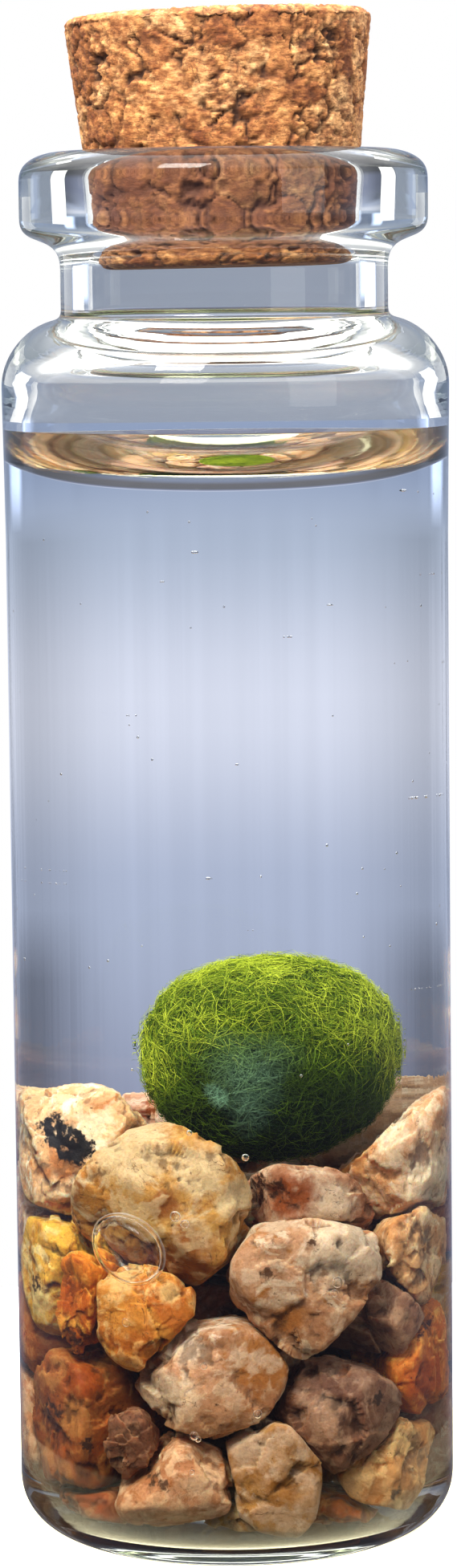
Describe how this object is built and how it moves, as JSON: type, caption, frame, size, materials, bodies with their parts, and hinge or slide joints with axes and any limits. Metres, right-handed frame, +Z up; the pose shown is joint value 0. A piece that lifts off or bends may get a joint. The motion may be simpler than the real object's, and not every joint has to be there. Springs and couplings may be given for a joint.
{
  "type": "marimo moss ball in a corked glass vial",
  "caption": "Round green moss ball resting on coloured gravel in a slim corked glass vial of water.",
  "frame": {"origin": "middle of the vial's flat foot, on the surface it stands on", "axes": "+Z up the vial towards the cork, front faces -Y, +X to the right seen from the front"},
  "size_m": [0.0222, 0.0222, 0.0761],
  "materials": {
    "clear_glass": "clear, smooth",
    "pressed_cork": "rough pressed cork granules",
    "water": "clear water",
    "marimo_green": "fine matted filaments",
    "stone_pink": "rough broken quartz gravel",
    "stone_gold": "rough broken quartz gravel",
    "stone_olive": "rough broken quartz gravel",
    "stone_amber": "rough broken quartz gravel",
    "stone_orange": "rough broken quartz gravel",
    "stone_rust": "rough broken quartz gravel",
    "stone_peach": "rough broken quartz gravel",
    "stone_rose": "rough broken quartz gravel",
    "stone_beige": "rough broken quartz gravel",
    "stone_grey": "rough broken quartz gravel",
    "stone_brown": "rough broken quartz gravel",
    "stone_pale": "rough broken quartz gravel"
  },
  "bodies": {
    "root": {"vial": "clear_glass", "cork": "pressed_cork", "water": "water", "moss_ball": "marimo_green", "stone_01": "stone_pink", "stone_02": "stone_gold", "stone_03": "stone_olive", "stone_04": "stone_orange", "stone_05": "stone_amber", "stone_06": "stone_rust", "stone_07": "stone_peach", "stone_08": "stone_rose", "stone_09": "stone_beige", "stone_10": "stone_orange", "stone_11": "stone_grey", "stone_12": "stone_rose", "stone_13": "stone_brown", "stone_14": "stone_grey", "stone_15": "stone_rose", "stone_16": "stone_pale", "stone_17": "stone_grey", "stone_18": "stone_beige", "stone_19": "stone_brown", "stone_20": "stone_olive", "stone_21": "stone_orange", "stone_22": "stone_beige", "stone_23": "stone_rust", "stone_24": "stone_beige", "stone_25": "stone_rose", "stone_26": "stone_gold", "stone_27": "stone_beige", "stone_28": "stone_pink", "stone_29": "stone_olive", "stone_30": "stone_rose", "stone_31": "stone_brown", "stone_32": "stone_orange", "stone_33": "stone_brown", "stone_34": "stone_pink", "stone_35": "stone_gold", "stone_36": "stone_rose", "stone_37": "stone_beige", "stone_38": "stone_rust", "stone_39": "stone_peach"}
  },
  "joints": []
}
